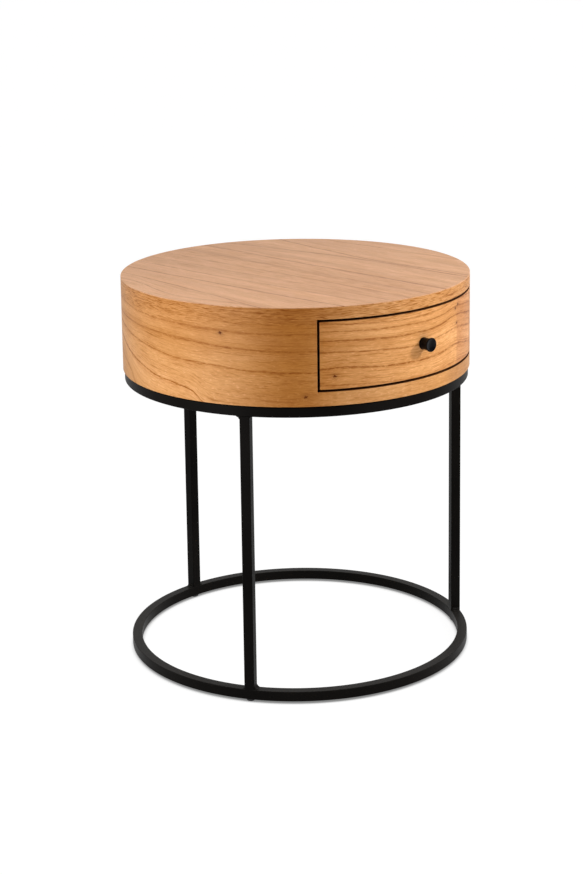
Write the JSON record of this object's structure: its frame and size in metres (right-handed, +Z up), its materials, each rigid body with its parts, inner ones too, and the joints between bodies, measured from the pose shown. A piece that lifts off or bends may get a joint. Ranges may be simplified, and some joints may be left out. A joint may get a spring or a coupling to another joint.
{
  "type": "side table with drawer",
  "caption": "Round side table: a wood-veneered drum with a curved drawer on ball slides, standing on a black frame of two square-tube rings and legs.",
  "frame": {"origin": "on the floor, in the middle of the overall outline, knob included; the drum's axis stands 7 mm behind it, at y = +0.007", "axes": "+Z up; the drawer opens towards -Y; +X is to the right of someone who faces the drawer"},
  "size_m": [0.4499, 0.464, 0.5],
  "materials": {
    "veneer": "satin lacquered veneer, honey brown, on bent plywood or board",
    "board": "raw plywood",
    "drawer_box": "lacquered light plywood",
    "knob_black": "satin black, turned",
    "screw_zinc": "zinc plated",
    "slide_zinc": "zinc plated, roll formed",
    "ball_steel": "polished steel",
    "bumper_rubber": "matt",
    "powder_coat": "fine satin black powder coat",
    "glide_black": "moulded nylon"
  },
  "bodies": {
    "table": {"top_panel": "veneer", "case_wall": "veneer", "bottom_panel": "board", "partition_left": "board", "partition_right": "board", "slide_outer_left": "slide_zinc", "slide_outer_right": "slide_zinc", "bumper_left": "bumper_rubber", "bumper_right": "bumper_rubber", "case_slide_screws": "screw_zinc", "case_screws": "screw_zinc", "top_ring": "powder_coat", "base_ring": "powder_coat", "leg_left": "powder_coat", "leg_right": "powder_coat", "leg_back": "powder_coat", "welds": "powder_coat", "tab_front": "powder_coat", "tab_left": "powder_coat", "tab_right": "powder_coat", "glide_left": "glide_black", "glide_right": "glide_black", "glide_back": "glide_black"},
    "drawer": {"drawer_front": "veneer", "drawer_side_left": "drawer_box", "drawer_side_right": "drawer_box", "drawer_back": "drawer_box", "drawer_bottom": "drawer_box", "knob": "knob_black", "knob_screw": "screw_zinc", "slide_inner_left": "slide_zinc", "slide_inner_right": "slide_zinc", "drawer_slide_screws": "screw_zinc"},
    "cage_left": {"ball_cage_left": "slide_zinc", "balls_left": "ball_steel"},
    "cage_right": {"ball_cage_right": "slide_zinc", "balls_right": "ball_steel"}
  },
  "joints": [
    {"name": "drawer_slide", "type": "slide", "parent": "table", "child": "drawer", "axis": [0, -1, 0], "range_m": [0, 0.18]},
    {"name": "cage_left_roll", "type": "slide", "parent": "table", "child": "cage_left", "axis": [0, -1, 0], "range_m": [0, 0.09]},
    {"name": "cage_right_roll", "type": "slide", "parent": "table", "child": "cage_right", "axis": [0, -1, 0], "range_m": [0, 0.09]}
  ],
  "couplings": [
    {"joint": "cage_left_roll", "follows": "drawer_slide", "ratio": 0.5},
    {"joint": "cage_right_roll", "follows": "drawer_slide", "ratio": 0.5}
  ]
}
